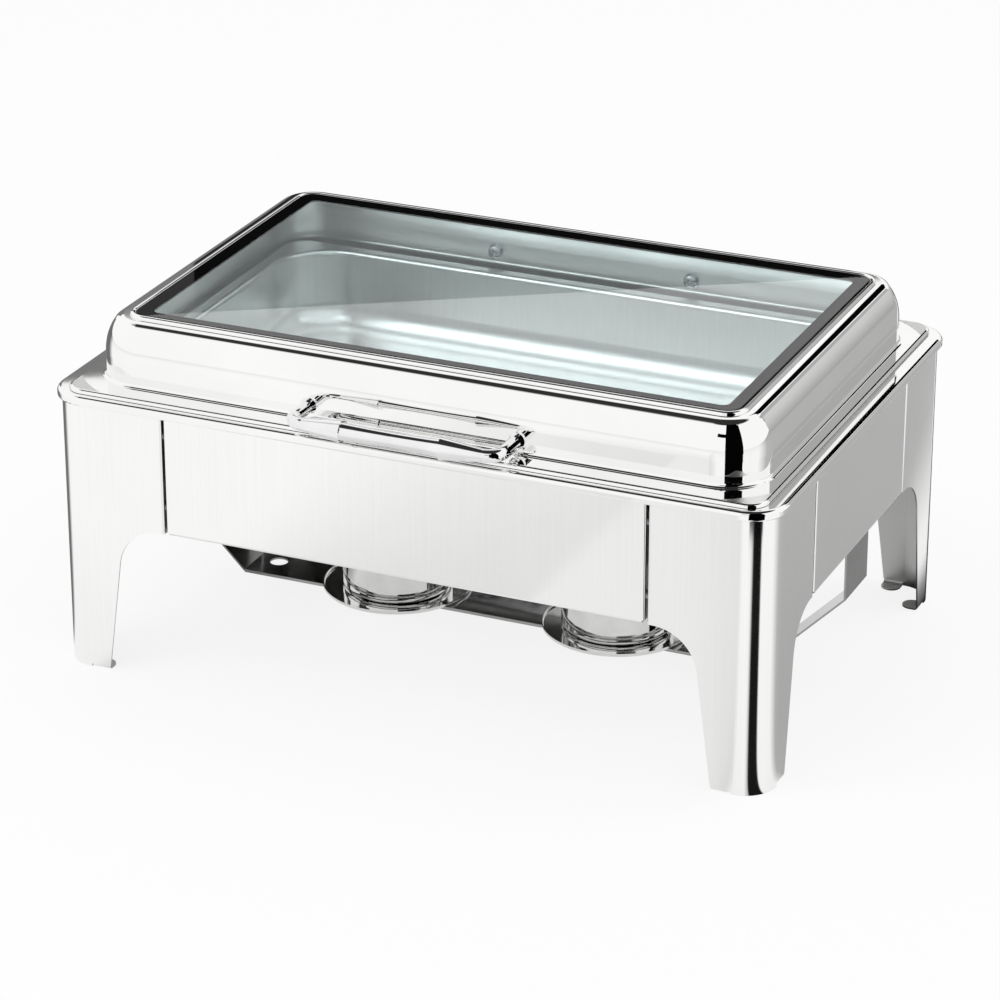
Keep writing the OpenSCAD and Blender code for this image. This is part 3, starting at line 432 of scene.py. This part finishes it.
def standing_flag(name, tones, middle, radius, sweep, heights):
    """Upright curved flag: angle, from behind to the right, by height on a cylinder."""
    bow = np.radians(np.linspace(*sweep, FLAG_COLUMNS))[:, None]
    level = np.array(heights)[None, :]
    points = np.stack(np.broadcast_arrays(
        middle[0] + radius * np.sin(bow), middle[1] + radius * np.cos(bow), level), -1)
    return flag(name, points, tones, heights)


def flat_flag(name, tones, far, left, right):
    """Upright flat flag across Y: two ends, each its X and the height of its top."""
    ends = np.array([[left, left], [right, right]])
    foot_and_top = np.array([[0, 1], [0, 1]])
    points = np.stack([ends[..., 0], np.full((2, 2), far), ends[..., 1] * foot_and_top], -1)
    return flag(name, points, tones, (0.0, left[1]))


def studio_world():
    """White room. Above a steep angle mirrors alone see a dark ceiling, a painted reflection; all
    else sees plain white.
    """
    world = bpy.data.worlds.new("white studio")
    bpy.context.scene.world = world
    world.use_nodes = True
    tree = world.node_tree
    tree.nodes.clear()
    way = add(tree, "TexCoord").outputs["Generated"]
    up = add(tree, "SeparateXYZ", {"Vector": way}).outputs["Z"]
    room = add(tree, "ValToRGB", {"Fac": up}, stops=ROOM_PAINTED_REFLECTIONS).outputs["Color"]
    level = add(tree, "MapRange", {"Value": seen(tree), "To Min": ROOM_LIGHT, "To Max": 1.0})
    light = add(tree, "Background", {"Color": white_or_mirrored(tree, room),
                                     "Strength": level.outputs[0]})
    add(tree, "OutputWorld", {"Surface": light.outputs[0]})


reach = np.array([-FLOOR_REACH, FLOOR_REACH])
floor_points = np.stack(np.meshgrid(reach, reach) + [np.zeros((2, 2))], -1)
floor = surface("studio_floor", floor_points, floor_material())
# Flags that only mirrors see: painted reflections, dark stripes on the lid, legs, handle and the
# rear of the pan
standing_flag("flag_right", BLACK, LID_CORNER, radius=2.0, sweep=(121, 162),
                  heights=(0.0, 2.4))
standing_flag("flag_corner", BLACK, LID_CORNER, radius=0.5, sweep=(123, 163),
                  heights=(0.018, 1.2))
flat_flag("flag_rear_left", (0.2, 0.2), REAR, left=(-3.2, 1.75), right=(-1.62, 1.43))
flat_flag("flag_rear", (0.02, 0.02), REAR, left=(-1.62, 1.43), right=(-0.5, 1.2))
standing_flag("flag_rear_low", (0.38, 0.66), MIDDLE, radius=REAR, sweep=(-11, 42),
                  heights=(0.0, 0.63))
standing_flag("flag_rear_grey", (0.45, 0.42), MIDDLE, radius=REAR, sweep=(21.5, 42),
                  heights=(0.63, 1.66))
standing_flag("flag_rear_high", BLACK, MIDDLE, radius=REAR, sweep=(-9, 17.6),
                  heights=(1.25, 2.1))
standing_flag("flag_front_high", BLACK, LID_CORNER, radius=2.0, sweep=(162, 185),
                  heights=(1.25, 1.56))
studio_world()


# Lamps and camera

LAMP_AIM = (0.0, 0.0, 0.15)
QUARTER_TURN = math.tau / 4
CAMERA_DIP, CAMERA_TURN = 23.715, 23.680   # degrees below level, and round from the front


def soft_lamp(name, place, size, power):
    """Large square lamp that lights the dish from a place and isn't mirrored itself."""
    lamp = bpy.data.lights.new(name, "AREA")
    lamp.size = size
    lamp.energy = power
    thing = bpy.data.objects.new(name, lamp)
    bpy.context.scene.collection.objects.link(thing)
    away = np.array(place) - np.array(LAMP_AIM)
    tilt = math.acos(away[2] / np.linalg.norm(away))
    thing.location = place
    thing.rotation_euler = (tilt, 0.0, math.atan2(away[1], away[0]) + QUARTER_TURN)
    thing.visible_glossy = False
    thing.visible_camera = False


soft_lamp("key_lamp", (-1.2, -1.6, 2.4), size=1.8, power=22.0)
soft_lamp("fill_lamp", (1.8, 0.9, 2.0), size=1.6, power=10.0)

camera = bpy.data.cameras.new("camera")
camera.lens = 145.12
camera.sensor_width = 36.0
camera.clip_end = 50.0
viewer = bpy.data.objects.new("camera", camera)
bpy.context.scene.collection.objects.link(viewer)
viewer.location = (1.1693, -2.6791, 1.3933)
viewer.rotation_euler = (math.radians(90 - CAMERA_DIP), 0.0, math.radians(CAMERA_TURN))
bpy.context.scene.camera = viewer
bpy.context.scene.view_settings.view_transform = "Standard"
